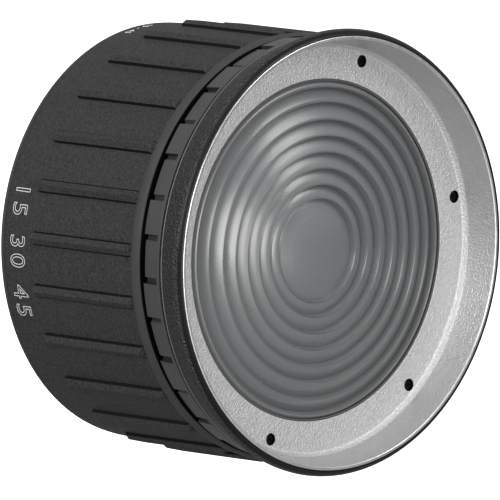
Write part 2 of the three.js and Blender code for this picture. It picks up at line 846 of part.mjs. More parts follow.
function roller() {
  return turned([
    [-FOLLOWER.rollerInner, FOLLOWER.rollerBore],
    [-FOLLOWER.rollerInner, FOLLOWER.rollerRadius],
    [-FOLLOWER.rollerOuter, FOLLOWER.rollerRadius],
    [-FOLLOWER.rollerOuter, FOLLOWER.pocketRadius],
    [-FOLLOWER.pocketFloor, FOLLOWER.pocketRadius],
    [-FOLLOWER.pocketFloor, FOLLOWER.rollerBore],
  ], BUSH_FACETS);
}

// -------------------------------------------------------------------------------------- assembly

const spotlight = new THREE.Group();
const fixedFrame = new THREE.Group();
const focusGroup = new THREE.Group();
const carriageGroup = new THREE.Group();
spotlight.add(fixedFrame, focusGroup, carriageGroup);

addPart(fixedFrame, 'bayonet_ring', bayonetRing(), castAluminium);
addPart(fixedFrame, 'bayonet_lock_ring', bayonetLockRing(), blackAnodise);
addPart(fixedFrame, 'mount_flange', mountFlange(), castAluminium);
addPart(fixedFrame, 'rear_cover', rearCover(), blackPaint);
addPart(fixedFrame, 'guide_barrel', guideBarrel(), blackAnodise);
addAxialScrews(fixedFrame, 'flange_screw', {
  angles: flangeAngles,
  circle: FLANGE.screwCircle,
  seat: flangeScrewSeat,
  sizes: flangeScrew,
}, zincSteel);
addAxialScrews(fixedFrame, 'cover_screw', {
  angles: coverAngles,
  circle: COVER.screwCircle,
  seat: COVER.ledgeRear - GAP,
  sizes: coverScrew,
}, blackSteel);

const glide = ring(GLIDE.innerRadius, GLIDE.outerRadius, 0, GLIDE.thickness);
addPart(fixedFrame, 'rear_glide_ring', glide, nylon).position.y = -GLIDE.rear;
addPart(fixedFrame, 'front_glide_ring', glide, nylon).position.y = GLIDE.thickness - GLIDE.front;

addPart(fixedFrame, 'front_collar', frontCollar(), greyAnodise);
addPart(fixedFrame, 'front_bezel', frontBezel(), bezelPaint);
addPart(fixedFrame, 'reflector_dish', reflectorDish(), silverPaint);
addPart(fixedFrame, 'lens_gasket', lensGasket(), sealRubber);
addPart(fixedFrame, 'front_lens', frontLens(), glass);
addAxialScrews(fixedFrame, 'collar_screw', {
  angles: collarAngles,
  circle: COLLAR.screwCircle,
  seat: collarScrewSeat,
  sizes: collarScrew,
  fromFront: true,
}, blackSteel);
addAxialScrews(fixedFrame, 'dish_screw', {
  angles: dishAngles,
  circle: DISH.screwCircle,
  seat: DISH.holeFloor + GAP,
  sizes: dishScrew,
  fromFront: true,
}, blackSteel);

addPart(focusGroup, 'focus_ring', focusRing(), blackPaint);
addPart(focusGroup, 'grip_sleeve', gripSleeve(), gripRubber);
addPart(focusGroup, 'cam_ring', camRing(), blackAnodise);
addRadialParts(focusGroup, 'cam_screw', {
  angles: camScrewAngles,
  station: CAM.screwStation,
  radius: camScrewSeat,
  body: screw(camScrew),
}, blackSteel);

addPart(carriageGroup, 'lens_carriage', lensCarriage(), blackAnodise);
addPart(carriageGroup, 'lens_cushion', lensCushion(), sealRubber);
addPart(carriageGroup, 'condenser_lens', condenserLens(), glass);
const retainerFront = RETAINER.rear + RETAINER.thickness;
const retainer = ring(RETAINER.innerRadius, RETAINER.outerRadius, RETAINER.rear, retainerFront);
addPart(carriageGroup, 'condenser_retainer', retainer, blackAnodise);
addRadialParts(carriageGroup, 'follower_roller', {
  angles: followerAngles,
  station: FOLLOWER.station,
  radius: 0,
  body: roller(),
}, nylon);
addRadialParts(carriageGroup, 'follower_screw', {
  angles: followerAngles,
  station: FOLLOWER.station,
  radius: followerScrewSeat,
  body: screw(followerScrew),
}, zincSteel);

export default spotlight;
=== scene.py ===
import math

import bmesh
import bpy
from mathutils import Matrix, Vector


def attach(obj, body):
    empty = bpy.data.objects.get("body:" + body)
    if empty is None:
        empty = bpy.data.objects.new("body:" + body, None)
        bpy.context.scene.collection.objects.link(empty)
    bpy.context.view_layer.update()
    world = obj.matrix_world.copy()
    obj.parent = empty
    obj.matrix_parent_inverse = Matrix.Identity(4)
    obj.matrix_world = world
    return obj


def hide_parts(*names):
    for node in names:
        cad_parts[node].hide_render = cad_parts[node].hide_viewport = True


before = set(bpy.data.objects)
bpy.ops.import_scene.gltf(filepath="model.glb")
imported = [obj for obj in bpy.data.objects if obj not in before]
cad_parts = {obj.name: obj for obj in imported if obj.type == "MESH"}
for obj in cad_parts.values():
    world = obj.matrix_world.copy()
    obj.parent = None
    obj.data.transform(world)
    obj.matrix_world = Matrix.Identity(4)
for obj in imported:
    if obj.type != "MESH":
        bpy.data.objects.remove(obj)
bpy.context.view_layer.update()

# Lengths below are millimetres. A "station" is a distance forward of the bayonet seat, so a
# point at station s on the optical axis is (0, -s, 0). Angles about the axis are degrees from
# straight up towards +X.
MM = 0.001
SEGMENTS = 240
SMOOTH_ANGLE = math.radians(32)
SHANK_HOLE_RADIUS = 1.8


# ------------------------------------------------------------------------------ mesh building


def rounded(outline, steps=4):
    """Closed outline of (station, radius, corner radius) points, with each corner turned into an arc."""
    result = []
    count = len(outline)
    for i, (s, r, corner) in enumerate(outline):
        here = Vector((s, r))
        before = Vector(outline[i - 1][:2]) - here
        after = Vector(outline[(i + 1) % count][:2]) - here
        if corner <= 0:
            result.append((s, r))
            continue
        if before.length < 1e-6 or after.length < 1e-6:
            result += [(s, r)] * (steps + 1)
            continue
        half = before.angle(after) / 2
        reach = min(corner / math.tan(half), before.length * 0.49, after.length * 0.49)
        start = here + before.normalized() * reach
        end = here + after.normalized() * reach
        for k in range(steps + 1):
            t = k / steps
            point = start * (1 - t) ** 2 + here * (2 * t * (1 - t)) + end * t**2
            result.append((point.x, point.y))
    return result


def at_angle(station, radius, angle):
    """The point at a station, radius and angle about the optical axis, in metres."""
    a = math.radians(angle)
    return Vector((radius * math.sin(a), -station, radius * math.cos(a))) * MM


def even_angles(count):
    """Angles that share a full turn equally."""
    return [360 * i / count for i in range(count)]


def finished(bm, name, material, smooth_angle=SMOOTH_ANGLE):
    """Turns a bmesh into an object with outward faces and smooth shading up to an angle."""
    bmesh.ops.recalc_face_normals(bm, faces=bm.faces)
    mesh = bpy.data.meshes.new(name)
    bm.to_mesh(mesh)
    bm.free()
    for polygon in mesh.polygons:
        polygon.use_smooth = True
    mesh.set_sharp_from_angle(angle=smooth_angle)
    obj = bpy.data.objects.new(name, mesh)
    bpy.context.scene.collection.objects.link(obj)
    mesh.materials.append(material)
    return obj


def swept(name, material, outline_at, angles, closed=True):
    """A solid about the optical axis. outline_at(angle) gives its (station, radius) points there."""
    bm = bmesh.new()
    rows = []
    for angle in angles:
        rows.append([bm.verts.new(at_angle(s, r, angle)) for s, r in outline_at(angle)])
    size = len(rows[0])
    pairs = range(size) if closed else range(size - 1)
    for i, row in enumerate(rows):
        following = rows[(i + 1) % len(rows)]
        for j in pairs:
            k = (j + 1) % size
            bm.faces.new((row[j], row[k], following[k], following[j]))
    bmesh.ops.remove_doubles(bm, verts=bm.verts, dist=1e-7)
    return finished(bm, name, material)


def turned(name, material, outline, closed=True):
    """A plain solid of revolution. An outline that starts and ends on the axis takes closed=False."""
    return swept(name, material, lambda angle: outline, even_angles(SEGMENTS), closed)


def paint_faces(obj, material, test):
    """Gives another material to the faces whose centre (station, radius, angle) passes the test."""
    obj.data.materials.append(material)
    for polygon in obj.data.polygons:
        c = polygon.center / MM
        if test(-c.y, math.hypot(c.x, c.z), math.degrees(math.atan2(c.x, c.z)) % 360):
            polygon.material_index = len(obj.data.materials) - 1


def cut_holes(obj, holes):
    """Drills (radius, circle, angle, rear, front) holes along the axis."""
    bm = bmesh.new()
    for radius, circle, angle, rear, front in holes:
        centre = at_angle((rear + front) / 2, circle, angle)
        size = {"radius1": radius * MM, "radius2": radius * MM, "depth": (front - rear) * MM}
        result = bmesh.ops.create_cone(bm, cap_ends=True, segments=32, **size)
        for v in result["verts"]:
            v.co = Vector((v.co.x, v.co.z, -v.co.y)) + centre
    cutter = finished(bm, "cutter", obj.data.materials[0])
    modifier = obj.modifiers.new("holes", "BOOLEAN")
    modifier.operation = "DIFFERENCE"
    modifier.solver = "EXACT"
    modifier.object = cutter
    with bpy.context.temp_override(object=obj, active_object=obj, selected_objects=[obj]):
        bpy.ops.object.modifier_apply(modifier=modifier.name)
    bpy.data.objects.remove(cutter)
    for polygon in obj.data.polygons:
        polygon.use_smooth = True
    obj.data.set_sharp_from_angle(angle=SMOOTH_ANGLE)


# --------------------------------------------------------------------------------- materials


class Finish:
    """A node material built up in steps: base colour, grain, bump and roughness variation."""

    def __init__(self, name, color, roughness, metallic=0.0, specular=0.5):
        self.material = bpy.data.materials.new(name)
        self.material.use_nodes = True
        self.nodes = self.material.node_tree.nodes
        self.links = self.material.node_tree.links
        self.shader = self.nodes["Principled BSDF"]
        self.shader.inputs["Base Color"].default_value = (*color, 1)
        self.shader.inputs["Roughness"].default_value = roughness
        self.shader.inputs["Metallic"].default_value = metallic
        self.shader.inputs["Specular IOR Level"].default_value = specular
        self.color = color
        self.roughness = roughness
        self.coordinates = self.nodes.new("ShaderNodeTexCoord").outputs["Object"]
        self.normal = None

    def noise(self, scale, detail=3.0, stretch=(1, 1, 1)):
        mapping = self.nodes.new("ShaderNodeMapping")
        mapping.inputs["Scale"].default_value = stretch
        self.links.new(self.coordinates, mapping.inputs["Vector"])
        node = self.nodes.new("ShaderNodeTexNoise")
        node.inputs["Scale"].default_value = scale
        node.inputs["Detail"].default_value = detail
        self.links.new(mapping.outputs["Vector"], node.inputs["Vector"])
        return node.outputs["Fac"]

    def cells(self, scale):
        node = self.nodes.new("ShaderNodeTexVoronoi")
        node.inputs["Scale"].default_value = scale
        self.links.new(self.coordinates, node.inputs["Vector"])
        return node.outputs["Distance"]

    def ramp(self, value, low, high, start, end):
        node = self.nodes.new("ShaderNodeMapRange")
        node.inputs["From Min"].default_value = low
        node.inputs["From Max"].default_value = high
        node.inputs["To Min"].default_value = start
        node.inputs["To Max"].default_value = end
        self.links.new(value, node.inputs["Value"])
        return node.outputs["Result"]

    def bump(self, height, strength, distance):
        node = self.nodes.new("ShaderNodeBump")
        node.inputs["Strength"].default_value = strength
        node.inputs["Distance"].default_value = distance
        self.links.new(height, node.inputs["Height"])
        if self.normal is not None:
            self.links.new(self.normal, node.inputs["Normal"])
        self.normal = node.outputs["Normal"]
        self.links.new(self.normal, self.shader.inputs["Normal"])
        return self

    def mottle(self, value, amount):
        """Lightens and darkens the base colour by amount as value goes from 0.3 to 0.7."""
        mix = self.nodes.new("ShaderNodeMix")
        mix.data_type = "RGBA"
        low, high = mix.inputs[6], mix.inputs[7]
        low.default_value = (*[c * (1 - amount) for c in self.color], 1)
        high.default_value = (*[min(1, c * (1 + amount)) for c in self.color], 1)
        self.links.new(self.ramp(value, 0.3, 0.7, 0, 1), mix.inputs[0])
        self.links.new(mix.outputs[2], self.shader.inputs["Base Color"])
        return self

    def uneven(self, value, amount):
        """Varies the roughness by amount as value goes from 0.3 to 0.7."""
        low, high = self.roughness - amount, self.roughness + amount
        self.links.new(self.ramp(value, 0.3, 0.7, low, high), self.shader.inputs["Roughness"])
        return self

    def turning_marks(self, pitch, strength, distance):
        """Fine circular machining marks about the optical axis."""
        split = self.nodes.new("ShaderNodeSeparateXYZ")
        self.links.new(self.coordinates, split.inputs[0])
        join = self.nodes.new("ShaderNodeCombineXYZ")
        self.links.new(split.outputs["X"], join.inputs["X"])
        self.links.new(split.outputs["Z"], join.inputs["Y"])
        length = self.nodes.new("ShaderNodeVectorMath")
        length.operation = "LENGTH"
        self.links.new(join.outputs[0], length.inputs[0])
        place = self.nodes.new("ShaderNodeCombineXYZ")
        self.links.new(length.outputs["Value"], place.inputs["X"])
        self.links.new(split.outputs["Y"], place.inputs["Y"])
        node = self.nodes.new("ShaderNodeTexNoise")
        node.inputs["Scale"].default_value = 1 / (pitch * MM)
        node.inputs["Detail"].default_value = 2.0
        self.links.new(place.outputs[0], node.inputs["Vector"])
        return self.bump(node.outputs["Fac"], strength, distance * MM)


def rubber_finish():
    f = Finish("grip_rubber", (0.031, 0.031, 0.0315), 0.62, specular=0.34)
    f.mottle(f.noise(800, 3), 0.5).uneven(f.noise(260), 0.06)
    return f.bump(f.noise(950, 3), 0.9, 0.0008).material


def leatherette_finish():
    f = Finish("bezel_texture", (0.01, 0.01, 0.0103), 0.38, specular=0.6)
    f.mottle(f.noise(720, 2), 0.95)
    return f.bump(f.cells(1000), 0.8, 0.001).bump(f.noise(1100, 2), 0.8, 0.0008).material


def satin_black(name, color, roughness, specular=0.5):
    f = Finish(name, color, roughness, specular=specular)
    f.mottle(f.noise(60, 2), 0.06).uneven(f.noise(150), 0.05)
    return f.bump(f.noise(1600, 2), 0.12, 0.0002).material


def anodised(name, color, roughness):
    f = Finish(name, color, roughness, metallic=0.35)
    f.mottle(f.noise(90, 2, (1, 6, 1)), 0.05).uneven(f.noise(200), 0.04)
    return f.turning_marks(0.35, 0.12, 0.15).material


def silver_finish(name, color, roughness):
    f = Finish(name, color, roughness, metallic=0.6)
    f.mottle(f.noise(600, 3), 0.05).uneven(f.noise(300), 0.05)
    return f.bump(f.noise(1000, 3), 0.7, 0.0006).material


def machined_finish(name, color, roughness):
    f = Finish(name, color, roughness, metallic=0.95)
    f.mottle(f.noise(120, 3), 0.06).uneven(f.noise(220), 0.06)
    return f.turning_marks(0.25, 0.25, 0.12).material


def plastic_finish(name, color, roughness):
    f = Finish(name, color, roughness)
    f.mottle(f.noise(80, 2), 0.05).uneven(f.noise(240), 0.05)
    return f.bump(f.noise(1300, 3), 0.15, 0.0003).material


def print_finish():
    f = Finish("scale_print", (0.78, 0.78, 0.78), 0.5)
    f.mottle(f.noise(700, 3), 0.08)
    return f.bump(f.noise(950, 4), 0.3, 0.0003).material


def lens_finish(name, color, transmission, roughness, specular):
    f = Finish(name, color, roughness, specular=specular)
    f.shader.inputs["Transmission Weight"].default_value = transmission
    f.shader.inputs["IOR"].default_value = 1.5
    f.uneven(f.noise(45, 2), 0.03)
    f.bump(f.noise(120, 2), 0.08, 0.0008)
    return f.turning_marks(2.4, 0.3, 0.25).material


RUBBER = rubber_finish()
LEATHERETTE = leatherette_finish()
# The bezel nose's own black, also used as painted shade in the bezel groove.
NOSE_BLACK_GROOVE_SHADE = satin_black("bezel_black_and_groove_shade", (0.004, 0.004, 0.004), 0.35, 0.25)
# Painted highlight: light grey for the bright line along the bezel's rear edge.
EDGE_HIGHLIGHT_GREY = satin_black("bezel_edge_painted_highlight", (0.15, 0.15, 0.15), 0.35)
RING_BLACK = satin_black("ring_black", (0.05, 0.05, 0.051), 0.6, 0.25)
# Painted shade: near-black colour for the fine grooves beside the grip ribs.
RIB_GROOVE_SHADE = satin_black("rib_groove_painted_shade", (0.008, 0.008, 0.008), 0.8, 0.15)
# Painted shade: near-black colour for the gaps between parts and the insides of screw holes.
GAP_PAINTED_SHADE = satin_black("gap_painted_shade", (0.002, 0.002, 0.002), 0.8, 0.05)
COVER_BLACK = satin_black("cover_black", (0.04, 0.04, 0.041), 0.5)
COLLAR_GREY = anodised("collar_grey", (0.078, 0.078, 0.082), 0.45)
# Painted shade: darker grey for the notches beside the collar blocks.
NOTCH_PAINTED_SHADE = anodised("notch_painted_shade", (0.03, 0.03, 0.032), 0.5)
BARREL_BLACK = anodised("barrel_black", (0.02, 0.02, 0.021), 0.5)
SILVER = silver_finish("dish_silver", (0.45, 0.45, 0.453), 0.42)
WALL_SILVER = silver_finish("dish_wall_silver", (0.45, 0.45, 0.453), 0.34)
LIP_SILVER = machined_finish("lip_silver", (0.6, 0.6, 0.605), 0.32)
CAST = machined_finish("cast_aluminium", (0.62, 0.62, 0.63), 0.32)
SEAL = plastic_finish("seal_rubber", (0.05, 0.05, 0.05), 0.6)
SCREW_BLACK = satin_black("screw_black", (0.003, 0.003, 0.003), 0.5, 0.1)
BLACK_STEEL = machined_finish("black_steel", (0.03, 0.03, 0.03), 0.4)
ZINC_STEEL = machined_finish("zinc_steel", (0.5, 0.51, 0.52), 0.3)
NYLON = plastic_finish("nylon", (0.7, 0.68, 0.62), 0.45)
PRINT = print_finish()
LENS = lens_finish("lens_glass", (0.165, 0.169, 0.173), 0.3, 0.3, 1.0)
CONDENSER = lens_finish("condenser_glass", (0.9, 0.93, 0.94), 0.95, 0.03, 0.5)


# -------------------------------------------------------------------------------- grip sleeve

SLEEVE_INNER = 101.4
SLEEVE_OUTLINE = [(28.2, 102.6), (38, 103.1), (58, 103.3), (121.1, 103.4)]
RIBS = 25
RIB_PITCH = 360 / RIBS
RIB_WIDTH = 5.75
RIB_REAR, RIB_FRONT = 49.7, 119.6
RIB_RAMP = 1.4
RIB_OUTLINE = [(49.7, 104.6), (61.8, 104.85), (114, 104.95), (120, 104.95)]
RIB_EDGE = 0.3
RIB_SIDE = [(-1.2, 1), (-0.4, 0.9), (0.4, -0.2), (1.6, -0.2), (2.2, 0)]
RIB_RADIUS = 105


def interpolate(table, x):
    """Straight-line value at x from (x, value) rows."""
    for (x0, y0), (x1, y1) in zip(table, table[1:]):
        if x <= x1:
            return y0 + (y1 - y0) * (x - x0) / (x1 - x0)
    return table[-1][1]


def sleeve_radius(station):
    """Outer radius of the sleeve, averaged over a short length so that the taper is smooth."""
    reach = [-6, -3, 0, 3, 6]
    rear, front = SLEEVE_OUTLINE[0][0], SLEEVE_OUTLINE[-1][0]
    near = min(station - rear, front - station, 6) / 6
    return sum(interpolate(SLEEVE_OUTLINE, station + d * near) for d in reach) / len(reach)


def smooth_step(x):
    x = max(0.0, min(1.0, x))
    return x * x * (3 - 2 * x)


def rib_height(station):
    """How far a rib stands above the sleeve: a step at its rear end, a ramp at its front end."""
    step = smooth_step((station - RIB_REAR) / 0.5 + 0.5)
    ramp = max(0.0, min(1.0, (RIB_FRONT - station) / RIB_RAMP))
    return (interpolate(RIB_OUTLINE, station) - sleeve_radius(station)) * step * ramp


def rib_angles():
    """Angles with extra columns where the side of a rib starts and ends."""
    half = math.degrees(RIB_WIDTH / 2 / RIB_RADIUS)
    edge = math.degrees(RIB_EDGE / RIB_RADIUS)
    offsets = []
    for side in (-1, 1):
        offsets += [side * (half + edge * t) for t, _ in RIB_SIDE]
    offsets += [-half / 2, 0, half / 2]
    pad = (RIB_PITCH - 2 * half - 4.8 * edge) / 8
    offsets += [half + 2.4 * edge + pad * k for k in range(1, 8)]
    return sorted((RIB_PITCH * i + d) % 360 for i in range(RIBS) for d in offsets)


def beside_rib(angle):
    """How far an angle is outside the nearest rib, as a multiple of RIB_EDGE."""
    away = abs((angle + RIB_PITCH / 2) % RIB_PITCH - RIB_PITCH / 2)
    return (math.radians(away) * RIB_RADIUS - RIB_WIDTH / 2) / RIB_EDGE


def rib_share(angle):
    """1 on a rib, 0 between ribs, and below 0 in the fine groove at its foot."""
    return interpolate(RIB_SIDE, beside_rib(angle))


def sleeve_stations():
    """Stations from the rear of the sleeve to its front, closer together at the rib ends."""
    front = SLEEVE_OUTLINE[-1][0]
    ends = [-0.6, -0.25, -0.08, 0.08, 0.25, 0.6]
    stations = [SLEEVE_OUTLINE[0][0] + 0.5 + 2.1 * k for k in range(10)]
    stations += [RIB_REAR + e for e in ends]
    stations += [RIB_REAR + 1.5 + (RIB_FRONT - RIB_RAMP - RIB_REAR - 2) * k / 22 for k in range(23)]
    stations += [RIB_FRONT - RIB_RAMP * t for t in (1, 0.9, 0.75, 0.5, 0.25, 0)]
    stations += [front - 0.8, front - 0.4]
    return stations


def sleeve_outline(angle):
    share = rib_share(angle)
    rear, front = SLEEVE_OUTLINE[0][0], SLEEVE_OUTLINE[-1][0]
    points = [(rear, SLEEVE_INNER), (rear, sleeve_radius(rear) - 0.25)]
    points += [(s, sleeve_radius(s) + rib_height(s) * share) for s in sleeve_stations()]
    points += [(front, SLEEVE_OUTLINE[-1][1] - 0.4), (front, SLEEVE_INNER)]
    return points


def in_rib_groove(station, radius, angle):
    """True for the fine groove along the foot of a rib, which is painted near-black as painted shade."""
    return RIB_REAR < station < RIB_FRONT and radius > 102 and -0.3 < beside_rib(angle) < 1.7


grip = swept("grip_sleeve_rubber", RUBBER, sleeve_outline, rib_angles())
# Painted shade: the fine groove at the foot of each rib is painted near-black for the shaded line along
# the rib.
paint_faces(grip, RIB_GROOVE_SHADE, in_rib_groove)
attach(grip, "focus_ring")
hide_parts("grip_sleeve")


# ------------------------------------------------------------------ numbers printed on the grip


def printed_text(name, text, height, line_width, middle_angle, base_station, spacing, filled=False):
    """Text wrapped on the sleeve, tops towards the front, reading from the top down the -X side."""
    curve = bpy.data.curves.new(name, "FONT")
    curve.body = text
    curve.size = height / 0.72
    curve.align_x = "CENTER"
    curve.space_character = spacing
    curve.resolution_u = 6
    curve.fill_mode = "BOTH" if filled else "NONE"
    if filled:
        curve.extrude = 0.03
        curve.offset = line_width
    else:
        curve.bevel_depth = line_width / 2
        curve.bevel_resolution = 1
    flat = bpy.data.objects.new(name + "_flat", curve)
    bpy.context.scene.collection.objects.link(flat)
    bpy.context.view_layer.update()
    mesh = bpy.data.meshes.new_from_object(flat.evaluated_get(bpy.context.evaluated_depsgraph_get()))
    bpy.data.objects.remove(flat)
    for v in mesh.vertices:
        station = base_station + v.co.y
        radius = sleeve_radius(station)
        angle = -(middle_angle + math.degrees(v.co.x / radius))
        lift = 0.04 + max(-1, min(1, v.co.z / max(line_width / 2, 0.03))) * 0.05
        v.co = at_angle(station, radius + lift, angle)
    mesh.materials.clear()
    mesh.materials.append(PRINT)
    obj = bpy.data.objects.new(name, mesh)
    bpy.context.scene.collection.objects.link(obj)
    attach(obj, "focus_ring")


printed_text(
    "beam_scale", "15 30 45",
    height=10.6, line_width=0.42, middle_angle=90.5, base_station=33.6, spacing=1.3,
)
printed_text(
    "beam_ends", "15 - 45",
    height=3.6, line_width=0.06, middle_angle=9, base_station=31.5, spacing=1.2, filled=True,
)


# ---------------------------------------------------------------------------------- focus ring

focus = turned("focus_ring_shell", RING_BLACK, rounded([
    (25.7, 98.3, 0.2),
    (25.7, 102.3, 0.7),
    (27.9, 102.5, 0.4),
    (27.9, 101.0, 0),
    (121.4, 101.0, 0),
    (121.4, 104.9, 0.3),
    (123.2, 105.3, 0.8),
    (125.2, 104.9, 1.0),
    (126.6, 104.1, 0.8),
    (127.1, 102.8, 0.3),
    (127.1, 98.3, 0.2),
    (125.5, 98.3, 0),
    (125.5, 95.5, 0),
    (27.3, 95.5, 0),
    (27.3, 98.3, 0),
]))
# Painted shade: the inner faces of the ring and the faces towards the gap in front of it are painted
# near-black for the shade that falls there.
paint_faces(focus, GAP_PAINTED_SHADE, lambda s, r, a: (s > 126.8 and r < 103.6) or r < 100)
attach(focus, "focus_ring")
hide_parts("focus_ring")


# --------------------------------------------------------------------------------- front collar

BLOCKS = 16
BLOCK_PITCH = 360 / BLOCKS
BLOCK_FIRST = -9.3
BLOCK_SPAN = 9.2
NOTCH_SPAN = 1.7
BLOCK_LIFT, NOTCH_DROP = 0.8, 1.3
BLOCK_SIDE = 0.12


def block_away(angle):
    """How far an angle is from the middle of the nearest block."""
    return abs((angle - BLOCK_FIRST + BLOCK_PITCH / 2) % BLOCK_PITCH - BLOCK_PITCH / 2)


def block_share(angle):
    """1 on a raised block of the collar, 0 between blocks."""
    return smooth_step((BLOCK_SPAN / 2 + BLOCK_SIDE - block_away(angle)) / BLOCK_SIDE)


def notch_share(angle):
    """1 in the narrow notch beside a block, 0 elsewhere."""
    outside = block_away(angle) - BLOCK_SPAN / 2
    return interpolate([(-1, 0), (0, 0), (0.14, 1), (NOTCH_SPAN - 0.3, 0.9), (NOTCH_SPAN, 0)], outside)


def block_angles():
    """Angles with extra columns at the sides of the blocks and of the notches."""
    offsets = [BLOCK_SPAN * k / 8 for k in range(-3, 4)]
    for side in (-1, 1):
        edges = (-0.12, -0.02, 0, 0.12, 0.2, 0.6, 1.0, 1.25, 1.4, 1.7, 1.85)
        offsets += [side * (BLOCK_SPAN / 2 + t) for t in edges]
        offsets += [side * (BLOCK_SPAN / 2 + 1.85 + 1.1 * t) for t in (1, 2, 3)]
    offsets += [BLOCK_PITCH / 2]
    return sorted((BLOCK_FIRST + BLOCK_PITCH * i + d) % 360 for i in range(BLOCKS) for d in offsets)


def collar_outline(angle):
    share = block_share(angle)
    rear = 130.2 - 0.5 * share
    lift = BLOCK_LIFT * share - NOTCH_DROP * notch_share(angle)
    edge = 0.3
    return [
        (129.8, 81.5),
        (129.8, 91.3),
        (127.6, 91.3),
        (127.6, 99),
        (rear, 99),
        (rear, 103.8 + lift - edge),
        (rear + edge * 0.3, 103.8 + lift - edge * 0.3),
        (rear + edge, 103.83 + lift),
        (135, 104.2 + lift),
        (139.2, 104.55 + lift),
        (139.45, 104.6 + lift),
        (139.75, 105.4 + 0.5 * min(0, lift - BLOCK_LIFT + 0.1)),
        (139.95, 105.4),
        (141.6, 105.6),
        (141.9, 105.5),
        (142, 105.2),
        (142, 104.9),
        (140.7, 104.9),
        (140.7, 102.9),
        (138.2, 102.9),
        (138.2, 86.5),
        (133.2, 86.5),
        (133.2, 81.5),
    ]


def in_notch(station, radius, angle):
    """True for the floor of the notch beside a block, which is painted darker as painted shade."""
    outside = block_away(angle) - BLOCK_SPAN / 2
    return 0 < outside < NOTCH_SPAN - 0.3 and station < 139.7 and radius > 101


collar = swept("front_collar_ring", COLLAR_GREY, collar_outline, block_angles())
# Painted shade: the collar's neck inside the gap behind it is painted near-black for the shade there.
paint_faces(collar, GAP_PAINTED_SHADE, lambda s, r, a: r < 102.6 and s < 131.2)
# Painted shade: the notch floors beside the blocks are painted darker for the shade in the notches.
paint_faces(collar, NOTCH_PAINTED_SHADE, in_notch)
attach(collar, "root")
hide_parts("front_collar")


# ---------------------------------------------------------------------------------- front bezel

NOSE_STATION, NOSE_RADIUS, NOSE_CENTRE = 156.1, 4.8, 105.2


def bezel_outline():
    nose = []
    for k in range(13):
        a = math.radians(66 * k / 12)
        along = NOSE_STATION + NOSE_RADIUS * math.sin(a)
        nose.append((along, NOSE_CENTRE + NOSE_RADIUS * math.cos(a), 0))
    return rounded([
        (141, 103.0, 0),
        (141, 104.6, 0.2),
        (143.3, 104.6, 0),
        (143.3, 105.5, 0.15),
        (144.1, 106.3, 0.2),
        (144.95, 106.42, 0),
        (152.6, 107.5, 0.25),
        (152.9, 106.3, 0.15),
        (154.0, 106.3, 0.15),
        (154.3, 109.4, 0.4),
        (155.2, 109.9, 0),
        *nose,
        (160.5, 107.1, 0.15),
        (158, 107.1, 0),
        (158, 106.1, 0),
        (144.3, 103.0, 0),
    ])


bezel = turned("front_bezel_shell", LEATHERETTE, bezel_outline())
# Painted highlight: the rounded rear edge of the bezel is painted light grey for the bright line the
# light draws along it.
paint_faces(bezel, EDGE_HIGHLIGHT_GREY, lambda s, r, a: s < 144.9 and r > 105.35)
# The nose is the bezel's own black; the groove behind it is painted the same near-black as painted shade.
paint_faces(bezel, NOSE_BLACK_GROOVE_SHADE, lambda s, r, a: s > 158.6 or (152.7 < s < 154.2 and r < 107.4))
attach(bezel, "root")
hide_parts("front_bezel")


# ------------------------------------------------------------------------------- reflector dish

DISH_SCREWS = [18.8 + 60 * k for k in range(6)]
DISH_CIRCLE = 95.7
DISH_HOLE_RADIUS = 3.1


def in_dish_hole(station, radius, angle):
    """True for the wall and floor of a screw hole, which are painted near-black as painted shade, but not
    for the dish's own bore or rim.
    """
    across = math.radians((angle - DISH_SCREWS[0] + 30) % 60 - 30) * DISH_CIRCLE
    return 138.6 < station < 142.45 and math.hypot(across, radius - DISH_CIRCLE) < DISH_HOLE_RADIUS + 0.15


dish = turned("reflector_dish_shell", SILVER, rounded([
    (138.5, 84.2, 0.2),
    (138.5, 102.6, 0.6),
    (144.3, 102.65, 0),
    (158.6, 105.8, 0),
    (158.6, 106.8, 0.3),
    (160.5, 106.8, 0.7),
    (160.5, 104.9, 0.8),
    (144.3, 101.7, 2.2),
    (142.5, 99.6, 2.2),
    (142.5, 84.2, 0.35),
], steps=6))
cut_holes(dish, [(DISH_HOLE_RADIUS, DISH_CIRCLE, a, 139.7, 144) for a in DISH_SCREWS])
cut_holes(dish, [(SHANK_HOLE_RADIUS, DISH_CIRCLE, a, 137, 141) for a in DISH_SCREWS])
# Painted shade: the walls and floors of the screw holes are painted near-black for the shade inside them.
paint_faces(dish, GAP_PAINTED_SHADE, in_dish_hole)
paint_faces(dish, WALL_SILVER, lambda s, r, a: 101.6 < r < 105.2 and 144.6 < s < 159)
paint_faces(dish, LIP_SILVER, lambda s, r, a: r > 104.95 and s > 158.7)
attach(dish, "root")
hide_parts("reflector_dish")


# ---------------------------------------------------------------------------------- front lens

LENS_RADIUS = 83.0
DISC_HEIGHT = 144.4
LENS_CRESTS = [  # (radius, height)
    (25.4, 143.9),
    (32.4, 145),
    (40.4, 145.7),
    (48.4, 146.1),
    (56.4, 146.2),
    (64.4, 145.7),
    (72.9, 144.8),
    (80.2, 143.6),
]
CREST_DROP = 3.9
RISER_WIDTH = 0.8
RIM_HEIGHT = 141.2
RING_STEPS = 12
RING_BULGE = 0.4
DISC_STEPS = 16


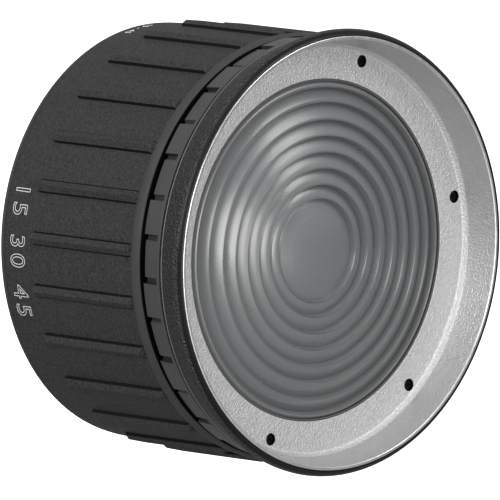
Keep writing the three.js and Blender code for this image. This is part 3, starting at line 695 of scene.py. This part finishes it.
def lens_outline():
    """A low dome, then rings that each rise steeply and fall away outwards."""
    first_valley = LENS_CRESTS[0][1] - CREST_DROP * 0.8
    disc_edge = LENS_CRESTS[0][0] - RISER_WIDTH
    points = []
    for k in range(DISC_STEPS + 1):
        part = k / DISC_STEPS
        points.append((DISC_HEIGHT - (DISC_HEIGHT - first_valley) * part**2, disc_edge * part))
    for i, (radius, height) in enumerate(LENS_CRESTS):
        if i + 1 < len(LENS_CRESTS):
            end_radius = LENS_CRESTS[i + 1][0] - RISER_WIDTH
            end_height = LENS_CRESTS[i + 1][1] - CREST_DROP
        else:
            end_radius, end_height = LENS_RADIUS, RIM_HEIGHT
        points += [(height - 0.3, radius - 0.1), (height, radius + 0.1), (height - 0.25, radius + 0.35)]
        start_height, start_radius = height - 0.75, radius + 0.75
        for k in range(RING_STEPS + 1):
            part = k / RING_STEPS
            bulge = RING_BULGE * math.sin(math.pi * part)
            rise = (end_height - start_height) * part + bulge
            points.append((start_height + rise, start_radius + (end_radius - start_radius) * part))
    points += [(137, LENS_RADIUS), (137, 86.1), (133.5, 86.1), (133.5, 60), (133.5, 30), (133.5, 0)]
    return points


lens = turned("fresnel_lens", LENS, lens_outline(), closed=False)
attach(lens, "root")
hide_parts("front_lens")

gasket = turned("lens_seal", SEAL, rounded([
    (137.3, 83.1, 0),
    (137.3, 86.3, 0),
    (138.2, 86.3, 0),
    (138.2, 84.05, 0),
    (142.3, 84.05, 0.25),
    (142.3, 83.1, 0.25),
]))
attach(gasket, "root")
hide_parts("lens_gasket")

CONDENSER_RADIUS = 70
CONDENSER_BULGE = 17
CONDENSER_BACK, CONDENSER_EDGE = 41.9, 46.9
CONDENSER_CURVE = (CONDENSER_RADIUS**2 + CONDENSER_BULGE**2) / (2 * CONDENSER_BULGE)
CONDENSER_STEPS = 24


def condenser_outline():
    """A spherical front, a straight edge and a flat back."""
    points = []
    for k in range(CONDENSER_STEPS + 1):
        r = CONDENSER_RADIUS * k / CONDENSER_STEPS
        rise = math.sqrt(CONDENSER_CURVE**2 - r**2) - (CONDENSER_CURVE - CONDENSER_BULGE)
        points.append((CONDENSER_EDGE + rise, r))
    return points + [(CONDENSER_BACK, r) for r in (CONDENSER_RADIUS, CONDENSER_RADIUS / 2, 0)]


condenser = turned("condenser_glass_lens", CONDENSER, condenser_outline(), closed=False)
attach(condenser, "lens_carriage")
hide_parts("condenser_lens")


# ---------------------------------------------------------------------------------- rear parts

LUGS = [0, 120, 240]
LUG_SPAN = 42
LUG_HEIGHT = 8
NOTCH_HALF = 2.7
NOTCH_DEPTH = 2.5
BAYONET_BORE, BAYONET_RADIUS = 46, 49
LIP_RADIUS = 53


def bayonet_outline(angle):
    away = min(abs((angle - lug + 180) % 360 - 180) for lug in LUGS)
    lug = smooth_step((LUG_SPAN / 2 - away) / 0.6 + 0.5)
    notch = smooth_step((NOTCH_HALF - abs((angle + 180) % 360 - 180)) / 0.3 + 0.5)
    reach = BAYONET_RADIUS + LUG_HEIGHT * lug - NOTCH_DEPTH * notch
    return rounded([
        (-12, BAYONET_BORE, 0.6),
        (-12, reach, 0.5),
        (-8.8, reach, 0.4),
        (-8.8, BAYONET_RADIUS, 0),
        (0, BAYONET_RADIUS, 0.2),
        (0, LIP_RADIUS, 0.25),
        (1.2, LIP_RADIUS, 0.15),
        (1.2, BAYONET_RADIUS, 0),
        (4.5, BAYONET_RADIUS, 0.2),
        (4.5, BAYONET_BORE, 0.3),
    ], steps=3)


def bayonet_angles():
    edges = (-0.35, -0.15, 0, 0.15, 0.35)
    extra = [lug + side * (LUG_SPAN / 2 + d) for lug in LUGS for side in (-1, 1) for d in edges]
    extra += [side * (NOTCH_HALF + d) for side in (-1, 1) for d in (-0.2, 0, 0.2)]
    return sorted(set(round(a % 360, 4) for a in even_angles(180) + extra))


bayonet = swept("bayonet_ring_cast", CAST, bayonet_outline, bayonet_angles())
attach(bayonet, "root")
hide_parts("bayonet_ring")

lock = turned("bayonet_lock_ring_thin", BARREL_BLACK, rounded([
    (3.3, 49.3, 0.15),
    (3.3, LIP_RADIUS, 0.2),
    (4.5, LIP_RADIUS, 0.2),
    (4.5, 49.3, 0.15),
]))
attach(lock, "root")
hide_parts("bayonet_lock_ring")

FLANGE_SCREWS = [0, 90, 180, 270]
FLANGE_CIRCLE = 62
flange = turned("mount_flange_plate", CAST, rounded([
    (0, 53.3, 0.2),
    (0, 72, 0.6),
    (4.5, 72, 0.6),
    (4.5, 53.3, 0.2),
    (3, 53.3, 0),
    (3, 49.3, 0.1),
    (1.5, 49.3, 0.1),
    (1.5, 53.3, 0),
]))
cut_holes(flange, [(3.3, FLANGE_CIRCLE, a, -1, 2.55) for a in FLANGE_SCREWS])
cut_holes(flange, [(SHANK_HOLE_RADIUS, FLANGE_CIRCLE, a, 1, 6) for a in FLANGE_SCREWS])
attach(flange, "root")
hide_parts("mount_flange")

COVER_SCREWS = [45, 135, 225, 315]
COVER_CIRCLE = 84
cover = turned("rear_cover_shell", COVER_BLACK, rounded([
    (4.8, 52, 0.3),
    (4.8, 75.3, 0.8),
    (6, 76.5, 0.8),
    (23.5, 98, 0.8),
    (25.2, 98, 0.2),
    (25.2, 91.4, 0),
    (21.2, 91.4, 0),
    (21.2, 78, 0),
    (17.5, 78, 0.3),
    (17.5, 85.2, 0),
    (8.8, 74.5, 0),
    (8.8, 52, 0.3),
]))
pockets = [(3.8, COVER_CIRCLE, a, 0, 17.5) for a in COVER_SCREWS]
cut_holes(cover, pockets + [(SHANK_HOLE_RADIUS, FLANGE_CIRCLE, a, 3, 10) for a in FLANGE_SCREWS])
cut_holes(cover, [(SHANK_HOLE_RADIUS, COVER_CIRCLE, a, 16, 23) for a in COVER_SCREWS])
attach(cover, "root")
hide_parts("rear_cover")


# -------------------------------------------------------------------------------------- screws


def socket_screw(
    name, node, material,
    head_radius, head_height, shank_radius, length, socket,
    circle, angle, seat, front,
):
    """A cap screw with a hexagon socket. Its head points forward if front is true, or else back."""
    bm = bmesh.new()
    sides = 36
    # (height, radius) from the socket's floor to the tip; None follows the hexagon
    outline = [
        (head_height * 0.45, None),
        (head_height, None),
        (head_height, head_radius - 0.35),
        (head_height - 0.1, head_radius - 0.12),
        (head_height - 0.35, head_radius),
        (0, head_radius),
        (0, shank_radius),
        (-length + 0.5, shank_radius),
        (-length, shank_radius - 0.5),
    ]

    def hex_radius(a):
        return socket * math.cos(math.pi / 6) / math.cos((a + math.pi / 6) % (math.pi / 3) - math.pi / 6)

    rows = []
    for i in range(sides):
        a = 2 * math.pi * i / sides
        row = []
        for height, radius in outline:
            r = hex_radius(a) if radius is None else radius
            row.append(bm.verts.new((r * math.cos(a) * MM, height * MM, r * math.sin(a) * MM)))
        rows.append(row)
    floor = bm.verts.new((0, head_height * 0.4 * MM, 0))
    tip = bm.verts.new((0, -length * MM, 0))
    for i, row in enumerate(rows):
        following = rows[(i + 1) % sides]
        for j in range(len(row) - 1):
            bm.faces.new((row[j], row[j + 1], following[j + 1], following[j]))
        bm.faces.new((row[0], following[0], floor))
        bm.faces.new((row[-1], following[-1], tip))
    spot = at_angle(seat, circle, angle)
    for v in bm.verts:
        v.co = spot + Vector((v.co.x, -v.co.y if front else v.co.y, v.co.z))
    screw = finished(bm, name, material, math.radians(40))
    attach(screw, "root")
    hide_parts(node)
    return screw


for i, a in enumerate(DISH_SCREWS, 1):
    screw = socket_screw(
        f"dish_cap_screw_{i}", f"dish_screw_{i}", SCREW_BLACK,
        head_radius=2.75, head_height=1.3, shank_radius=1.4, length=8, socket=1.2,
        circle=DISH_CIRCLE, angle=a, seat=140, front=True,
    )
for i, a in enumerate(FLANGE_SCREWS, 1):
    screw = socket_screw(
        f"flange_cap_screw_{i}", f"flange_screw_{i}", ZINC_STEEL,
        head_radius=3, head_height=2.2, shank_radius=1.5, length=6, socket=1.3,
        circle=FLANGE_CIRCLE, angle=a, seat=2.25, front=False,
    )
for i, a in enumerate(COVER_SCREWS, 1):
    screw = socket_screw(
        f"cover_cap_screw_{i}", f"cover_screw_{i}", BLACK_STEEL,
        head_radius=3, head_height=2.6, shank_radius=1.5, length=6.5, socket=1.3,
        circle=COVER_CIRCLE, angle=a, seat=17.2, front=False,
    )


# --------------------------------------------------------- materials of the nodes that stay

INNER_MATERIALS = {
    "guide_barrel": BARREL_BLACK,
    "cam_ring": BARREL_BLACK,
    "lens_carriage": BARREL_BLACK,
    "condenser_retainer": BARREL_BLACK,
    "lens_cushion": SEAL,
    "rear_glide_ring": NYLON,
    "front_glide_ring": NYLON,
}
for name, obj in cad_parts.items():
    chosen = INNER_MATERIALS.get(name)
    if name.startswith("follower_roller"):
        chosen = NYLON
    elif name.startswith("follower_screw"):
        chosen = ZINC_STEEL
    elif "screw" in name:
        chosen = BLACK_STEEL
    if chosen:
        obj.data.materials.clear()
        obj.data.materials.append(chosen)


# ------------------------------------------------------------------- floor, lights and camera

WORLD_STRENGTH = 0.45
FLOOR_LEVEL = -0.42
FLOOR_REACH = 40
LIP_STATION = 0.16


def studio():
    """A pale floor, and a grey surround that is plain white where the camera sees it."""
    floor_mesh = bpy.data.meshes.new("floor")
    sides = [(-1, -1), (1, -1), (1, 1), (-1, 1)]
    corners = [(x * FLOOR_REACH, y * FLOOR_REACH, FLOOR_LEVEL) for x, y in sides]
    floor_mesh.from_pydata(corners, [], [(0, 1, 2, 3)])
    floor = bpy.data.objects.new("floor", floor_mesh)
    bpy.context.scene.collection.objects.link(floor)
    f = Finish("floor_pale", (0.35, 0.35, 0.35), 0.8)
    f.mottle(f.noise(3, 2), 0.01)
    floor_mesh.materials.append(f.material)

    world = bpy.data.worlds.new("studio")
    bpy.context.scene.world = world
    world.use_nodes = True
    tree = world.node_tree
    background = tree.nodes["Background"]
    background.inputs["Color"].default_value = (1, 1, 1, 1)
    path = tree.nodes.new("ShaderNodeLightPath")
    strength = tree.nodes.new("ShaderNodeMapRange")
    strength.inputs["To Min"].default_value = WORLD_STRENGTH
    strength.inputs["To Max"].default_value = 1.0
    tree.links.new(path.outputs["Is Camera Ray"], strength.inputs["Value"])
    tree.links.new(strength.outputs["Result"], background.inputs["Strength"])
    bpy.context.scene.view_settings.view_transform = "Standard"


def aim(light, place, target):
    light.location = place
    light.rotation_euler = (Vector(target) - Vector(place)).to_track_quat("-Z", "Y").to_euler()
    bpy.context.scene.collection.objects.link(light)


def softbox(name, energy, size, place):
    data = bpy.data.lights.new(name, "AREA")
    data.shape = "DISK"
    data.energy = energy
    data.size = size
    aim(bpy.data.objects.new(name, data), place, (0, -0.1, 0))


def spotlight(name, energy, cone, radius, place, target):
    data = bpy.data.lights.new(name, "SPOT")
    data.energy = energy
    data.spot_size = math.radians(cone)
    data.spot_blend = 0.3
    data.shadow_soft_size = radius
    aim(bpy.data.objects.new(name, data), place, target)


# VIEW_WIDTH is the width of the frame at the dish's lip, and LIP_TO_CENTRE is how far the frame's
# centre is right of and above the lip's middle, all in metres.
CAMERA_DISTANCE = 11.6
VIEW_WIDTH = 0.2444
VIEW_AZIMUTH, VIEW_ELEVATION = -43.6, 6.96
LIP_TO_CENTRE = (-0.0445, 0.0016)


def camera():
    azimuth, elevation = math.radians(VIEW_AZIMUTH), math.radians(VIEW_ELEVATION)
    back = Vector((
        math.sin(azimuth) * math.cos(elevation),
        -math.cos(azimuth) * math.cos(elevation),
        math.sin(elevation),
    ))
    right = Vector((math.cos(azimuth), math.sin(azimuth), 0))
    up = back.cross(right)
    target = Vector((0, -LIP_STATION, 0)) + right * LIP_TO_CENTRE[0] + up * LIP_TO_CENTRE[1]
    data = bpy.data.cameras.new("camera")
    data.sensor_width = 36
    data.lens = data.sensor_width * CAMERA_DISTANCE / VIEW_WIDTH
    data.clip_end = 100
    obj = bpy.data.objects.new("camera", data)
    obj.location = target + back * CAMERA_DISTANCE
    obj.rotation_euler = back.to_track_quat("Z", "Y").to_euler()
    bpy.context.scene.collection.objects.link(obj)
    bpy.context.scene.camera = obj


studio()
# energies in watts, places in metres
softbox("big_left", 42, 1.6, (-2.3, -0.9, 1.0))
softbox("big_top", 13, 1.6, (-0.9, -0.9, 2.4))
softbox("front_high", 11, 0.8, (0.78, -1.54, 1.02))
softbox("front_level", 16, 0.8, (-0.19, -1.99, 0.09))
softbox("front_low", 1.5, 0.5, (0.15, -1.45, -0.28))
spotlight("background", 2600, 60, 0.3, (2.35, 2.45, 3.4), (2.35, 2.45, FLOOR_LEVEL))
camera()

bpy.context.view_layer.update()
